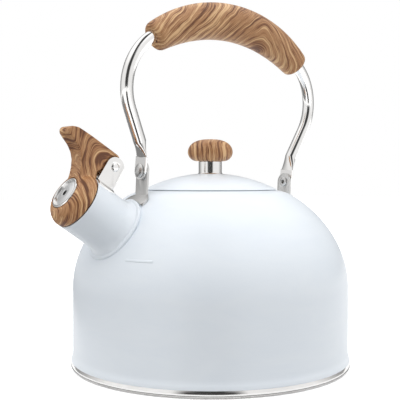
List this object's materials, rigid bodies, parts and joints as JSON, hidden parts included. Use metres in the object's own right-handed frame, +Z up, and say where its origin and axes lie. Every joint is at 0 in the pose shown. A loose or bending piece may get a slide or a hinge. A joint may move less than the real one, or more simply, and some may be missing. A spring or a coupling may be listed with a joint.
{
  "type": "stovetop whistling kettle",
  "caption": "Domed white stovetop kettle with a slanted spout, hinged whistle cap, loose lid with a round knob and a fold-down bail handle with a wood-look grip.",
  "frame": {"origin": "centre of the flat bottom", "axes": "+Z up, spout towards -X, bail handle upright in the XZ plane"},
  "size_m": [0.2246, 0.2, 0.2586],
  "materials": {
    "white_lacquer": "satin lacquer",
    "polished_steel": "polished stainless steel",
    "satin_steel": "satin stainless steel",
    "heat_aluminium": "rolled",
    "wood_grain_plastic": "satin with a printed wood grain",
    "insert_brass": "turned"
  },
  "bodies": {
    "kettle": {"body_shell": "white_lacquer", "base_pan": "polished_steel", "heat_disc": "heat_aluminium", "base_cap": "satin_steel", "spout_tube": "white_lacquer", "hinge_bracket": "polished_steel", "hinge_pin": "polished_steel", "lever_spring": "satin_steel", "front_bracket": "satin_steel", "rear_bracket": "satin_steel", "front_rivet": "satin_steel", "rear_rivet": "satin_steel"},
    "bail": {"front_arm": "polished_steel", "rear_arm": "polished_steel", "grip": "wood_grain_plastic", "grip_screws": "satin_steel"},
    "lid": {"lid_shell": "white_lacquer", "lid_skirt": "satin_steel", "knob_stem": "polished_steel", "lid_knob": "wood_grain_plastic", "knob_insert": "insert_brass", "knob_screw": "satin_steel", "knob_washer": "satin_steel"},
    "whistle": {"whistle_cap": "wood_grain_plastic", "whistle_bezel": "polished_steel", "whistle_front_disc": "satin_steel", "whistle_rear_disc": "satin_steel", "whistle_plug": "satin_steel"}
  },
  "joints": [
    {"name": "bail_fold", "type": "hinge", "parent": "kettle", "child": "bail", "pos_m": [0.00765, 0, 0.1347], "axis": [0.9983, 0, -0.0576], "range_deg": [-114, 106]},
    {"name": "whistle_lever", "type": "hinge", "parent": "kettle", "child": "whistle", "pos_m": [-0.08508, 0, 0.14067], "axis": [0, 1, 0], "range_deg": [0, 45], "stiffness_Nm_per_rad": 0.03, "springref_deg": -28.65},
    {"name": "lid_lift", "type": "slide", "parent": "kettle", "child": "lid", "axis": [0, 0, 1], "range_m": [0, 0.06]}
  ]
}
